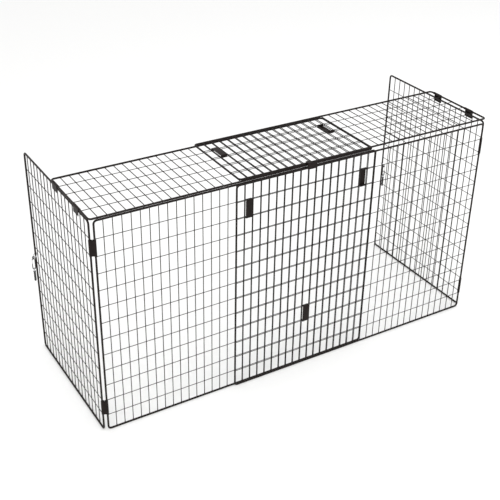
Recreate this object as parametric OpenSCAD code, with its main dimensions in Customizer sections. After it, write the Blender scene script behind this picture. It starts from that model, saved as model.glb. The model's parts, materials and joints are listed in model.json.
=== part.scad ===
// Extending fireguard of welded wire mesh: two lapping front panels, two hinged sides
// and a lapping two-part lid. It has no floor and no back.
// X runs along the front, +Y towards the wall and +Z up. The origin is on the floor, at the
// centre of the outline. Everything is placed from the left corner, then moved to the origin.

/* [Mesh] */
// Pitch of the close-set wires, the pales
cell_w = 25.4; // [24:0.1:28]
// Pitch of the wide-set wires, the rails
cell_h = 50.8; // [48:0.1:56]
// Diameter of a pale
pale_d = 2.5; // [2.2:0.1:2.5]
// Diameter of a rail
rail_d = 2; // [1.6:0.1:2]
// Diameter of a panel's frame rod
frame_d = 5.5; // [5.3:0.1:6]
// Bend radius of a panel's corners, at the middle of the rod
corner_r = 9; // [8:1:18]

/* [Guard] */
// Cells up the front and the sides
rows_high = 13; // [12:1:16]
// Cells along each front panel and each lid panel
front_cells = 34; // [30:1:40]
// Cells along each side panel
side_cells = 18; // [16:1:24]
// Cells from the front of the lid to its back edge
lid_rows = 5; // [5:1:8]
// Cells by which the right half stands out from the left half
reach_cells = 16; // [14:1:20]
// How far the right half falls short of those cells
reach_less = 3; // [0:0.5:3]
// Distance of the front's corner rods from the planes of the sides
corner_gap = 11.5; // [10:0.5:14]
// Distance of the sides' corner rods from the plane of the left front panel
side_gap = 5; // [4:0.5:14]
// Clear gap between two panels that lap
lap_gap = 0.5; // [0.5:0.1:1]
// Clear gap between the front's top rod and the lid's front rod
lid_gap = 1.1; // [1:0.1:2]

/* [Clips] */
// Thickness of the clips' sheet steel
sheet = 0.8; // [0.6:0.1:0.9]
// Clear gap between a clip and the rod it holds
clip_gap = 0.4; // [0.35:0.05:0.5]
// Height of a corner clip
corner_clip_h = 46; // [30:1:46]
// Length of a side hook along the lid's end rod
side_hook_len = 34; // [20:1:34]
// Width of the lugs that pass between two pales
lug_w = 20; // [16:1:21]
// Width of a joiner's face
joiner_w = 22; // [21:0.5:22.4]

/* [Wall hook] */
// Height of the ring on the side's back rod
ring_z = 330; // [200:5:400]
// Radius of the ring, at the middle of its wire
ring_r = 8.2; // [8:0.1:9]
// Radius of the ring's wire
ring_wire_r = 1.2; // [1:0.1:1.3]
// Length of the snap hook between its eye and its bight
hook_reach = 35; // [30:1:40]
// Thickness of the snap hook
hook_t = 3.6; // [3.4:0.1:3.6]
// Radius of the wall eye's loop, at the middle of its wire
eye_r = 4; // [3.9:0.1:4.2]
// Length of the wall plug
plug_len = 34; // [28:1:40]

/* [Hidden] */
$fn = 48;

coat = [0.07, 0.065, 0.06];
zinc = [0.72, 0.73, 0.74];
nylon = [0.09, 0.09, 0.09];

frame_r = frame_d / 2;
// Rails and pales lie on either side of the frame rods' plane, each a hair off it
weld_gap = 0.1;
rail_off = rail_d / 2 + weld_gap;
pale_off = pale_d / 2 + weld_gap;
pale_face = pale_off + pale_d / 2;

panel_w = front_cells * cell_w;
side_w = side_cells * cell_w;
lid_w = lid_rows * cell_h;
lap = frame_d + lap_gap;
reach = reach_cells * cell_w - reach_less;
total_w = 2 * corner_gap + reach + panel_w;

// Heights of the rod axes
bottom_z = frame_r;
top_z = bottom_z + rows_high * cell_h;
lid_z = top_z + frame_d + lid_gap;

// Places of the rod axes along X and Y, from the left side's plane and the left front's plane
front_right_x = corner_gap + reach;
front_right_y = -lap;
side_y = side_gap;
back_y = side_y + side_w;

// Cells that carry clips
joiner_row = 11;
low_joiner_row = 3;
low_joiner_cell = 9;
lid_joiner_row = 3;
end_cell = 1;
upper_clip_row = 11;
lower_clip_row = 1;
front_hook_row = 1;
rear_hook_row = 4;

// Joiner: lugs pass over and under two rails of each panel
lug_y = cell_h / 2 + rail_d / 2 + 0.3;
lug_end = lap - 0.35;
face_gap = 0.05;

// Side hook
hook_in = frame_r + clip_gap;
hook_out = hook_in + sheet;
hook_inner_leg = 1.6;
hook_below_rod = 12;
rear_hook_shift = 6.8;

// Lid keeper: a front plate, a lug under the front rod and a tab over the lid rods, which stays
// between the pales of both lid panels
keeper_t = 1;
keeper_tab_half = 9.7 - reach_less / 2;
keeper_tab_shift = reach_less / 2;
keeper_lug_from = 2;
keeper_lug_to = cell_w - 2;
keeper_y = -lap - frame_r - clip_gap;
keeper_tab_z = lid_z + lap + frame_r + clip_gap;
keeper_lug_z = top_z - frame_r - clip_gap;
keeper_tab_y = frame_r + clip_gap + keeper_t;
keeper_lug_y = -frame_r - 0.75;

// Wall hook, from the axis of the side's back rod: y is outwards
ring_tilt = 45;
ring_low = ring_r * sin(ring_tilt);
ring_y = ring_r * cos(ring_tilt) - frame_r - ring_wire_r - 0.25;
hang_y = ring_y + ring_r * cos(ring_tilt);
hang_z = ring_z - ring_low;
eye_slack = 0.8;
hook_eye_in = 2.4;
hook_eye_out = 4.1;
bight_y = hang_y + 1;
bight_out = 5.2;
bight_in = 3.2;
bight_top = -8.6;
neck_lo = [hang_y - 2.2, -5.6];
neck_hi = [hang_y + 3.6, -2.9];
gate_pivot = [bight_y + 3.3, -6.4];
gate_pin_r = 0.8;
gate_hole_r = 0.86;
gate_boss_r = 1.45;
gate_t = 1.6;
gate_in = bight_y + bight_in + 0.3;
gate_out = bight_y + bight_out - 0.3;
gate_top = -7.4;
nose_z = 0.35 - (hook_reach - 13);
gate_tip_z = nose_z + 0.35;
slot_half = 0.95;
pin_head_r = 1.3;
pin_head_t = 0.5;
hook_z = hang_z - eye_slack;
bight_bottom = -hook_reach - (bight_in + bight_out) / 2;
eye_wire_r = 1.1;
eye_z = hook_z + bight_bottom - 0.9;
collar_r = 2.9;
collar_t = 1.2;
collar_z = eye_z - eye_r - 1.8;
shank_r = 1.7;
plug_r = 3.4;
plug_bore_r = 1.9;
plug_rim_r = 4.2;
plug_rim_t = 1.2;
plug_tip = 4;
plug_tip_r = 2.6;
plug_z = collar_z - 0.4;
shank_z = plug_z - plug_len + plug_tip;

// The outline's front and back, which set the origin
front_face = keeper_y - keeper_t;
back_face = back_y + ring_r + ring_wire_r;
centre = [total_w / 2, (front_face + back_face) / 2, 0];

function arc(c, r, from, to, steps) =
    [for (i = [0:steps]) c + r * [cos(from + (to - from) * i / steps), sin(from + (to - from) * i / steps)]];

// Outline with two round ends, about the points p and q
function link(p, q, r) =
    let (turn = atan2(q[1] - p[1], q[0] - p[0]))
    concat(arc(q, r, turn - 90, turn + 90, 12), arc(p, r, turn + 90, turn + 270, 12));

module block(lo, hi) {
    translate(lo) cube(hi - lo);
}

// From the left corner to the part's origin
module at_origin() {
    translate(-centre) children();
}

module mirrored() {
    mirror([1, 0, 0]) children();
}

// Panel planes: a panel is drawn flat, with its pales along Y and its faces along Z
module on_front_left() {
    at_origin() translate([corner_gap, 0, bottom_z]) rotate([90, 0, 0]) children();
}

module on_front_right() {
    at_origin() translate([front_right_x, front_right_y, bottom_z]) rotate([90, 0, 0]) children();
}

module on_side_left() {
    at_origin() translate([0, side_y, bottom_z]) rotate([90, 0, 90]) children();
}

module on_top_left() {
    at_origin() translate([0, 0, lid_z]) children();
}

module on_top_right() {
    at_origin() translate([total_w - panel_w, 0, lid_z + lap]) children();
}

module in_cell(column, row) {
    translate([(column + 0.5) * cell_w, (row + 0.5) * cell_h, 0]) children();
}

// Frame rod bent round four corners
module rod_frame(w, h) {
    for (y = [0, h])
        translate([corner_r, y, 0]) rotate([0, 90, 0]) cylinder(d = frame_d, h = w - 2 * corner_r);
    for (x = [0, w])
        translate([x, corner_r, 0]) rotate([-90, 0, 0]) cylinder(d = frame_d, h = h - 2 * corner_r);
    for (bend = [[corner_r, corner_r, 180], [w - corner_r, corner_r, 270],
                 [w - corner_r, h - corner_r, 0], [corner_r, h - corner_r, 90]])
        translate([bend[0], bend[1], 0]) rotate([0, 0, bend[2]])
            rotate_extrude(angle = 90) translate([corner_r, 0]) circle(d = frame_d);
}

// Welded panel. Its rails lie on the side that face_side gives: 1 is +Z and -1 is -Z
module mesh_panel(columns, rows, face_side) {
    w = columns * cell_w;
    h = rows * cell_h;
    rod_frame(w, h);
    for (i = [1:columns - 1])
        translate([i * cell_w, 0, -face_side * pale_off]) rotate([-90, 0, 0]) cylinder(d = pale_d, h = h);
    for (j = [1:rows - 1])
        translate([0, j * cell_h, face_side * rail_off]) rotate([0, 90, 0]) cylinder(d = rail_d, h = w);
}

// Folded clip that keeps two lapping panels together, drawn at the middle of a cell of its own
// panel. Its face lies outside the pales and its lugs reach back over the rails of both panels
module joiner() {
    top = lug_y + sheet;
    face = pale_face + face_gap;
    block([-joiner_w / 2, -top, face], [joiner_w / 2, top, face + sheet]);
    for (side = [-1, 1])
        scale([1, side, 1]) block([-lug_w / 2, lug_y, -lug_end], [lug_w / 2, top, face + sheet]);
}

// Band folded round a front corner rod and a side corner rod, over one cell of height
module corner_clip(front_rod, side_rod, row) {
    z = bottom_z + (row + 0.5) * cell_h - corner_clip_h / 2;
    inner = frame_r + clip_gap;
    at_origin() translate([0, 0, z]) linear_extrude(corner_clip_h) difference() {
        polygon(link(front_rod, side_rod, inner + sheet));
        polygon(link(front_rod, side_rod, inner));
    }
}

// Hook folded over the lid's end rod, with its long leg outside the side panel's top rod
module side_hook(y, drop) {
    half = side_hook_len / 2;
    leg = drop + hook_below_rod;
    block([-hook_out, y - half, -leg], [-hook_in, y + half, hook_out]);
    block([-hook_out, y - half, hook_in], [hook_out, y + half, hook_out]);
    block([hook_in, y - half, -hook_inner_leg], [hook_out, y + half, hook_out]);
}

module side_hook_left(y) {
    on_top_left() side_hook(y, lid_z - top_z);
}

module side_hook_right(y) {
    on_top_right() translate([panel_w, 0, 0]) mirrored() side_hook(y, lid_z + lap - top_z);
}

front_hook_y = (front_hook_row + 0.5) * cell_h;
rear_hook_y = (rear_hook_row + 0.5) * cell_h - rear_hook_shift;

// Axis of the left side's back rod, with Y outwards from the side
module at_back_rod() {
    at_origin() translate([0, back_y, 0]) rotate([0, 0, 90]) children();
}

// A flat shape in the plane of the wall hook: X becomes outwards and Y becomes up
module upright(thickness) {
    rotate([90, 0, 90]) linear_extrude(thickness, center = true) children();
}

module hook_ring() {
    color(zinc) at_back_rod() translate([0, ring_y, ring_z]) rotate([-ring_tilt, 0, 0])
        rotate_extrude() translate([ring_r, 0]) circle(r = ring_wire_r, $fn = 24);
}

module snap_hook_outline() {
    difference() {
        union() {
            translate([hang_y, 0]) circle(r = hook_eye_out);
            polygon(link([bight_y, bight_top], [bight_y, -hook_reach], bight_out));
            translate(neck_lo) square(neck_hi - neck_lo);
        }
        translate([hang_y, 0]) circle(r = hook_eye_in);
        polygon(link([bight_y, bight_top], [bight_y, -hook_reach], bight_in));
        translate([bight_y + bight_in - 0.6, nose_z]) square([bight_out, gate_top - nose_z]);
        translate(gate_pivot) circle(r = gate_hole_r);
    }
}

module snap_hook() {
    color(coat) at_back_rod() translate([0, 0, hook_z]) difference() {
        upright(hook_t) snap_hook_outline();
        block([-slot_half, gate_pivot[0] - 1.8, gate_top - 2],
              [slot_half, gate_out + 2, gate_pivot[1] + 1.8]);
    }
}

module hook_gate() {
    color(zinc) at_back_rod() translate([0, 0, hook_z]) upright(gate_t) difference() {
        union() {
            translate(gate_pivot) circle(r = gate_boss_r);
            translate([gate_in, gate_tip_z]) square([gate_out - gate_in, gate_pivot[1] - gate_tip_z]);
        }
        translate(gate_pivot) circle(r = gate_hole_r);
    }
}

module gate_pin() {
    reach_x = hook_t / 2 + face_gap;
    color(zinc) at_back_rod() translate([0, gate_pivot[0], hook_z + gate_pivot[1]]) rotate([0, 90, 0]) {
        cylinder(r = gate_pin_r, h = 2 * reach_x + pin_head_t, center = true);
        for (side = [-1, 1]) translate([0, 0, side * (reach_x + pin_head_t / 2)])
            cylinder(r = pin_head_r, h = pin_head_t, center = true);
    }
}

module wall_eye() {
    color(zinc) at_back_rod() translate([0, bight_y, 0]) {
        translate([0, 0, eye_z]) rotate([90, 0, 0])
            rotate_extrude() translate([eye_r, 0]) circle(r = eye_wire_r, $fn = 24);
        translate([0, 0, collar_z]) cylinder(r = collar_r, h = collar_t);
        translate([0, 0, shank_z]) cylinder(r = shank_r, h = collar_z + collar_t / 2 - shank_z);
    }
}

module wall_plug() {
    color(nylon) at_back_rod() translate([0, bight_y, plug_z]) difference() {
        union() {
            translate([0, 0, -plug_rim_t]) cylinder(r = plug_rim_r, h = plug_rim_t);
            translate([0, 0, -plug_len + plug_tip]) cylinder(r = plug_r, h = plug_len - plug_tip);
            translate([0, 0, -plug_len]) cylinder(r1 = plug_tip_r, r2 = plug_r, h = plug_tip);
        }
        translate([0, 0, -plug_len - 1]) cylinder(r = plug_bore_r, h = plug_len + 2);
    }
}

module front_left() {
    color(coat) on_front_left() mesh_panel(front_cells, rows_high, 1);
}

module front_right() {
    color(coat) on_front_right() mesh_panel(front_cells, rows_high, -1);
}

module top_left() {
    color(coat) on_top_left() mesh_panel(front_cells, lid_rows, 1);
}

module top_right() {
    color(coat) on_top_right() mesh_panel(front_cells, lid_rows, -1);
}

module side_left() {
    color(coat) on_side_left() mesh_panel(side_cells, rows_high, 1);
}

module corner_clip_left(row) {
    color(coat) corner_clip([corner_gap, 0], [0, side_y], row);
}

module corner_clip_right(row) {
    color(coat) corner_clip([total_w - corner_gap, front_right_y], [total_w, side_y], row);
}

module front_joiner_left() {
    color(coat) on_front_right() in_cell(end_cell, joiner_row) joiner();
}

module front_joiner_right() {
    color(coat) on_front_left() in_cell(front_cells - 1 - end_cell, joiner_row) mirror([0, 0, 1]) joiner();
}

module front_joiner_low() {
    color(coat) on_front_right() in_cell(low_joiner_cell, low_joiner_row) joiner();
}

module top_joiner_left() {
    color(coat) on_top_right() in_cell(end_cell, lid_joiner_row) joiner();
}

module top_joiner_right() {
    color(coat) on_top_left() in_cell(front_cells - 1 - end_cell, lid_joiner_row) mirror([0, 0, 1]) joiner();
}

module top_keeper() {
    x = front_right_x + low_joiner_cell * cell_w;
    tab_x = x + keeper_tab_shift;
    color(coat) at_origin() {
        block([tab_x - keeper_tab_half, keeper_y - keeper_t, keeper_lug_z - keeper_t],
              [x + keeper_lug_to, keeper_y, keeper_tab_z + keeper_t]);
        block([tab_x - keeper_tab_half, keeper_y - keeper_t, keeper_tab_z],
              [tab_x + keeper_tab_half, keeper_tab_y, keeper_tab_z + keeper_t]);
        block([x + keeper_lug_from, keeper_y - keeper_t, keeper_lug_z - keeper_t],
              [x + keeper_lug_to, keeper_lug_y, keeper_lug_z]);
    }
}

front_left();
front_right();
top_left();
top_right();
side_left();
mirrored() side_left();  // side_right
corner_clip_left(upper_clip_row);  // corner_clip_left_upper
corner_clip_left(lower_clip_row);  // corner_clip_left_lower
corner_clip_right(upper_clip_row);  // corner_clip_right_upper
corner_clip_right(lower_clip_row);  // corner_clip_right_lower
front_joiner_left();
front_joiner_right();
front_joiner_low();
top_joiner_left();
top_joiner_right();
top_keeper();
color(coat) side_hook_left(front_hook_y);  // side_hook_left_front
color(coat) side_hook_left(rear_hook_y);  // side_hook_left_rear
color(coat) side_hook_right(front_hook_y);  // side_hook_right_front
color(coat) side_hook_right(rear_hook_y);  // side_hook_right_rear
hook_ring();  // hook_ring_left
snap_hook();  // snap_hook_left
hook_gate();  // hook_gate_left
gate_pin();  // gate_pin_left
wall_eye();  // wall_eye_left
wall_plug();  // wall_plug_left
mirrored() hook_ring();  // hook_ring_right
mirrored() snap_hook();  // snap_hook_right
mirrored() hook_gate();  // hook_gate_right
mirrored() gate_pin();  // gate_pin_right
mirrored() wall_eye();  // wall_eye_right
mirrored() wall_plug();  // wall_plug_right
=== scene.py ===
"""Looks of an extending wire-mesh fireguard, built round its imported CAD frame.

Lengths are in metres, in the frame of the CAD part: X runs along the front, Y towards the wall and
Z up. Every piece takes its place from the box of the CAD node that it stands for.
"""

import json
import logging
import math
from dataclasses import dataclass
from enum import Enum

import bmesh
import bpy
from mathutils import Matrix, Vector


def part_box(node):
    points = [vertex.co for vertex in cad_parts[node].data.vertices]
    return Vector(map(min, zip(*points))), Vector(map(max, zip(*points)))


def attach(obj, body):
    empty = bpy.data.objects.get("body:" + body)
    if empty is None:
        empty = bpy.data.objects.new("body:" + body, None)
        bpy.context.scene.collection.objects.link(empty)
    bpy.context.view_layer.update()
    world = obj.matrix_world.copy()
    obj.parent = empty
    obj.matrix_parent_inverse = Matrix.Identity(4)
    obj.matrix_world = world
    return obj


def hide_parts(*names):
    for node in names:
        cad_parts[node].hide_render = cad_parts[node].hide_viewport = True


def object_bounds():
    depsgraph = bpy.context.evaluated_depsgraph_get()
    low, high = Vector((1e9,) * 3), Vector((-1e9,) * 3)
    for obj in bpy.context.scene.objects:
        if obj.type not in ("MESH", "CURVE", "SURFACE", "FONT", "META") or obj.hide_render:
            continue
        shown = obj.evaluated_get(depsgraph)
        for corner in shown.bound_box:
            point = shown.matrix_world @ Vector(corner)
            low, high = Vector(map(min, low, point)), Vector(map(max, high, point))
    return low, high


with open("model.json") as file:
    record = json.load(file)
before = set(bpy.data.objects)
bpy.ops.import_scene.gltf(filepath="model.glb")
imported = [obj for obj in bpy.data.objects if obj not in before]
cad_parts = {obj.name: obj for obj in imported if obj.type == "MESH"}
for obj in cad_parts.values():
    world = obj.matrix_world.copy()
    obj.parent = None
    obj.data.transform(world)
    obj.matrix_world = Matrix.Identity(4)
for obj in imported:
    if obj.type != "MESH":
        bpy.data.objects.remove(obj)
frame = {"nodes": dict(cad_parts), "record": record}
cad_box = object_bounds()

log = logging.getLogger("fireguard")

MM = 0.001
QUARTER = math.radians(90)
HALF = math.radians(180)
FULL = math.radians(360)
X_AXIS = Vector((1, 0, 0))
Y_AXIS = Vector((0, 1, 0))
Z_AXIS = Vector((0, 0, 1))
WELD_REACH = 0.002 * MM

Colour = tuple[float, float, float]


class Side(Enum):
    """The two halves of the guard, with the sign of X on each."""

    LEFT = -1
    RIGHT = 1

    @property
    def word(self) -> str:
        """The half's name, as the CAD nodes spell it."""
        return self.name.lower()


class PlateEdge(Enum):
    """The edge of a plate off which a tab is folded, with its direction along the plate's height."""

    TOP = 1
    BOTTOM = -1


# ---------------------------------------------------------------- finishes


def add_node(tree: bpy.types.NodeTree, kind: str, **sockets: object) -> bpy.types.Node:
    """Add a shader node and set its unlinked sockets.

    Args:
        tree: The material's node tree.
        kind: The node's type, such as "ShaderNodeTexNoise".
        **sockets: Socket names, with _ for a space, and their values.

    Returns:
        The new node.
    """
    node = tree.nodes.new(kind)
    for name, value in sockets.items():
        node.inputs[name.replace("_", " ")].default_value = value
    return node


def start_material(name: str) -> tuple[bpy.types.Material, bpy.types.Node, bpy.types.NodeSocket]:
    """Start a node material.

    Args:
        name: The material's name.

    Returns:
        The material, its Principled shader and the Object coordinates that its patterns read.
    """
    material = bpy.data.materials.new(name)
    material.use_nodes = True
    shader = material.node_tree.nodes["Principled BSDF"]
    place = material.node_tree.nodes.new("ShaderNodeTexCoord").outputs["Object"]
    return material, shader, place


def noise(
    tree: bpy.types.NodeTree, place: bpy.types.NodeSocket, size: float, detail: float, rough: float = 0.55
) -> bpy.types.NodeSocket:
    """Add a noise pattern.

    Args:
        tree: The material's node tree.
        place: The coordinates that the pattern reads.
        size: The width of its spots, in metres.
        detail: Its number of finer octaves.
        rough: How strong the finer octaves are.

    Returns:
        The pattern, from 0 to 1.
    """
    texture = add_node(tree, "ShaderNodeTexNoise", Scale=1 / size, Detail=detail, Roughness=rough)
    tree.links.new(place, texture.inputs["Vector"])
    return texture.outputs["Fac"]


def spread(
    tree: bpy.types.NodeTree,
    value: bpy.types.NodeSocket,
    low: float,
    high: float,
    start: float = 0.3,
    end: float = 0.7,
) -> bpy.types.NodeSocket:
    """Stretch a pattern over a range.

    Args:
        tree: The material's node tree.
        value: The pattern.
        low: The result where the pattern is at start.
        high: The result where the pattern is at end.
        start: The pattern's low value.
        end: The pattern's high value.

    Returns:
        The stretched pattern.
    """
    mapping = add_node(tree, "ShaderNodeMapRange", From_Min=start, From_Max=end, To_Min=low, To_Max=high)
    tree.links.new(value, mapping.inputs["Value"])
    return mapping.outputs["Result"]


def blend_colours(
    tree: bpy.types.NodeTree, amount: bpy.types.NodeSocket, first: Colour, second: Colour
) -> bpy.types.NodeSocket:
    """Mix two colours by a pattern.

    Args:
        tree: The material's node tree.
        amount: The pattern, 0 for the first colour and 1 for the second.
        first: The first colour.
        second: The second colour.

    Returns:
        The mixed colour.
    """
    mix = tree.nodes.new("ShaderNodeMix")
    mix.data_type = "RGBA"
    colours = [socket for socket in mix.inputs if socket.type == "RGBA"]
    for socket, colour in zip(colours, (first, second)):
        socket.default_value = (*colour, 1)
    tree.links.new(amount, mix.inputs["Factor"])
    return next(socket for socket in mix.outputs if socket.type == "RGBA")


def add_bump(
    tree: bpy.types.NodeTree,
    shader: bpy.types.Node,
    height: bpy.types.NodeSocket,
    depth: float,
    below: bpy.types.NodeSocket | None = None,
) -> bpy.types.NodeSocket:
    """Bump the surface by a pattern.

    Args:
        tree: The material's node tree.
        shader: The shader that takes the bumped normal.
        height: The pattern.
        depth: How far the pattern lifts the surface, in metres.
        below: The normal of a coarser bump that this one lies on.

    Returns:
        The bumped normal.
    """
    bump = add_node(tree, "ShaderNodeBump", Distance=depth)
    tree.links.new(height, bump.inputs["Height"])
    if below is not None:
        tree.links.new(below, bump.inputs["Normal"])
    tree.links.new(bump.outputs["Normal"], shader.inputs["Normal"])
    return bump.outputs["Normal"]


@dataclass(frozen=True)
class PowderCoat:
    """Baked powder coat on steel: a near-black film with an orange peel and slight changes of gloss."""

    name: str
    film: Colour
    thin_film: Colour
    gloss: float = 0.3
    matt: float = 0.46
    peel_size: float = 0.9 * MM
    peel_depth: float = 0.03 * MM
    patch_size: float = 18 * MM
    shine: float = 0.14

    def material(self) -> bpy.types.Material:
        """Make the coat's material.

        Returns:
            The material.
        """
        material, shader, place = start_material(self.name)
        tree = material.node_tree
        patches = noise(tree, place, self.patch_size, 3)
        specks = noise(tree, place, self.peel_size * 0.45, 2)
        colour = blend_colours(tree, spread(tree, patches, 0, 1), self.film, self.thin_film)
        tree.links.new(colour, shader.inputs["Base Color"])
        tree.links.new(spread(tree, specks, self.gloss, self.matt), shader.inputs["Roughness"])
        add_bump(tree, shader, noise(tree, place, self.peel_size, 3), self.peel_depth)
        shader.inputs["Specular IOR Level"].default_value = self.shine
        return material


@dataclass(frozen=True)
class ZincPlate:
    """Bright zinc on steel wire: clear metal with a fine grain and clouding."""

    name: str
    bright: Colour = (0.66, 0.67, 0.69)
    clouded: Colour = (0.47, 0.48, 0.49)
    cloud_size: float = 2.4 * MM
    grain_size: float = 0.35 * MM
    grain_depth: float = 0.012 * MM

    def material(self) -> bpy.types.Material:
        """Make the plating's material.

        Returns:
            The material.
        """
        material, shader, place = start_material(self.name)
        tree = material.node_tree
        clouds = noise(tree, place, self.cloud_size, 4)
        grain = noise(tree, place, self.grain_size, 3)
        colour = blend_colours(tree, spread(tree, clouds, 0, 1), self.bright, self.clouded)
        tree.links.new(colour, shader.inputs["Base Color"])
        tree.links.new(spread(tree, clouds, 0.2, 0.38), shader.inputs["Roughness"])
        add_bump(tree, shader, grain, self.grain_depth)
        shader.inputs["Metallic"].default_value = 1
        return material


@dataclass(frozen=True)
class CastPaint:
    """Black paint on a die-cast hook: glossy, over the soft waves of the casting."""

    name: str
    paint: Colour = (0.011, 0.0105, 0.0105)
    worn: Colour = (0.04, 0.038, 0.036)
    wave_size: float = 3 * MM
    wave_depth: float = 0.06 * MM
    grain_size: float = 0.4 * MM
    grain_depth: float = 0.012 * MM

    def material(self) -> bpy.types.Material:
        """Make the paint's material.

        Returns:
            The material.
        """
        material, shader, place = start_material(self.name)
        tree = material.node_tree
        waves = noise(tree, place, self.wave_size, 2)
        grain = noise(tree, place, self.grain_size, 3)
        rubbed = spread(tree, waves, 0, 1, 0.55, 0.75)
        colour = blend_colours(tree, rubbed, self.paint, self.worn)
        tree.links.new(colour, shader.inputs["Base Color"])
        tree.links.new(spread(tree, grain, 0.24, 0.4), shader.inputs["Roughness"])
        coarse = add_bump(tree, shader, waves, self.wave_depth)
        add_bump(tree, shader, grain, self.grain_depth, coarse)
        shader.inputs["Specular IOR Level"].default_value = 0.3
        shader.inputs["Coat Weight"].default_value = 0.1
        shader.inputs["Coat Roughness"].default_value = 0.2
        return material


@dataclass(frozen=True)
class MouldedNylon:
    """Black moulded nylon: dull, with a spark-eroded grain and faint flow marks."""

    name: str
    resin: Colour = (0.016, 0.016, 0.017)
    flow: Colour = (0.028, 0.028, 0.03)
    flow_size: float = 4 * MM
    grain_size: float = 0.25 * MM
    grain_depth: float = 0.02 * MM

    def material(self) -> bpy.types.Material:
        """Make the nylon's material.

        Returns:
            The material.
        """
        material, shader, place = start_material(self.name)
        tree = material.node_tree
        marks = noise(tree, place, self.flow_size, 4)
        grain = noise(tree, place, self.grain_size, 2)
        colour = blend_colours(tree, spread(tree, marks, 0, 1), self.resin, self.flow)
        tree.links.new(colour, shader.inputs["Base Color"])
        tree.links.new(spread(tree, grain, 0.48, 0.64), shader.inputs["Roughness"])
        add_bump(tree, shader, grain, self.grain_depth)
        return material


@dataclass(frozen=True)
class StudioPaper:
    """Plain pale paper for the floor."""

    name: str
    tone: Colour = (0.9, 0.9, 0.895)

    def material(self) -> bpy.types.Material:
        """Make the paper's material.

        Returns:
            The material.
        """
        material, shader, place = start_material(self.name)
        tree = material.node_tree
        fibre = noise(tree, place, 0.02, 3)
        darker = tuple(part * 0.985 for part in self.tone)
        tree.links.new(blend_colours(tree, fibre, self.tone, darker), shader.inputs["Base Color"])
        shader.inputs["Roughness"].default_value = 0.9
        shader.inputs["Specular IOR Level"].default_value = 0.1
        return material


class FinishShelf:
    """The object's finishes, each made once and kept by the record's slot."""

    def __init__(self) -> None:
        """Make the materials."""
        self.by_slot = {
            "coated_wire": PowderCoat(
                "black_coat_on_wire",
                (0.0085, 0.0062, 0.0056),
                (0.017, 0.0125, 0.0115),
            ).material(),
            "coated_sheet": PowderCoat(
                "black_coat_on_sheet",
                (0.008, 0.0056, 0.005),
                (0.016, 0.011, 0.01),
                gloss=0.36,
                matt=0.52,
                peel_size=1.2 * MM,
                peel_depth=0.05 * MM,
                patch_size=9 * MM,
                shine=0.1,
            ).material(),
            "coated_hook": CastPaint("black_paint_on_casting").material(),
            "zinc_wire": ZincPlate("bright_zinc").material(),
            "nylon": MouldedNylon("black_nylon").material(),
        }

    def of_slot(self, slot: str) -> bpy.types.Material:
        """The finish of a slot of the record."""
        return self.by_slot[slot]


# ---------------------------------------------------------------- pieces


class Workbench:
    """Turns finished meshes into pieces of the guard."""

    def __init__(self, finishes: FinishShelf) -> None:
        """Read the record's bodies and slots.

        Args:
            finishes: The finishes of the guard's pieces.
        """
        record = frame["record"]
        self.finishes = finishes
        self.slots = {part["node"]: part["material_slot"] for part in record["subparts"]}
        bodies = record["behaviour"]["bodies"]
        self.bodies = {node: body for body, nodes in bodies.items() for node in nodes}

    def add(self, node: str, mesh: bmesh.types.BMesh, sharp: float = 40) -> bpy.types.Object:
        """Make the piece that stands for a CAD node.

        Args:
            node: The CAD node.
            mesh: The piece's mesh, in its place. It is freed.
            sharp: Edges bent by more than this many degrees stay sharp.

        Returns:
            The piece, riding on the node's body.
        """
        name = f"{node}_made"
        data = bpy.data.meshes.new(name)
        mesh.to_mesh(data)
        mesh.free()
        data.shade_smooth()
        data.set_sharp_from_angle(angle=math.radians(sharp))
        piece = bpy.data.objects.new(name, data)
        bpy.context.scene.collection.objects.link(piece)
        data.materials.append(self.finishes.of_slot(self.slots[node]))
        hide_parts(node)
        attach(piece, self.bodies[node])
        log.info("%s: %d faces, on %s", name, len(data.polygons), self.bodies[node])
        return piece

    def add_sheet(
        self, node: str, surface: bmesh.types.BMesh, gauge: float, edge: float
    ) -> bpy.types.Object:
        """Make a sheet-metal piece from its middle surface.

        Args:
            node: The CAD node.
            surface: The sheet's middle surface, in its place. It is freed.
            gauge: The sheet's thickness.
            edge: The width of its dulled edges.

        Returns:
            The piece, with the thickness and the dulled edges as modifiers.
        """
        piece = self.add(node, surface)
        wall = piece.modifiers.new("gauge", "SOLIDIFY")
        wall.thickness = gauge
        wall.offset = 0
        wall.use_even_offset = True
        dull = piece.modifiers.new("dulled_edges", "BEVEL")
        dull.width = edge
        dull.segments = 2
        dull.limit_method = "ANGLE"
        dull.angle_limit = math.radians(50)
        dull.harden_normals = True
        return piece


def all_geometry(mesh: bmesh.types.BMesh) -> list:
    """Every vertex, edge and face of a mesh."""
    return [*mesh.verts, *mesh.edges, *mesh.faces]


def geometry_of(verts: list[bmesh.types.BMVert]) -> list:
    """The vertices given, and the edges and faces that they hold between them.

    Args:
        verts: The vertices.

    Returns:
        The vertices with their edges and faces.
    """
    chosen = set(verts)
    edges = {edge for vert in verts for edge in vert.link_edges if chosen.issuperset(edge.verts)}
    faces = {face for vert in verts for face in vert.link_faces if chosen.issuperset(face.verts)}
    return [*verts, *edges, *faces]


def edges_in(geometry: list) -> list[bmesh.types.BMEdge]:
    """The edges of a list of geometry."""
    return [item for item in geometry if isinstance(item, bmesh.types.BMEdge)]


def verts_in(geometry: list) -> list[bmesh.types.BMVert]:
    """The vertices of a list of geometry."""
    return [item for item in geometry if isinstance(item, bmesh.types.BMVert)]


def place_matrix(origin: Vector, across: Vector, up: Vector) -> Matrix:
    """The matrix that lays local X along one direction and local Y along another.

    Args:
        origin: Where the local origin goes.
        across: The direction of local X.
        up: The direction of local Y, square to it.

    Returns:
        The matrix. It never mirrors.
    """
    turn = Matrix((across, up, across.cross(up))).transposed()
    return Matrix.Translation(origin) @ turn.to_4x4()


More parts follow.
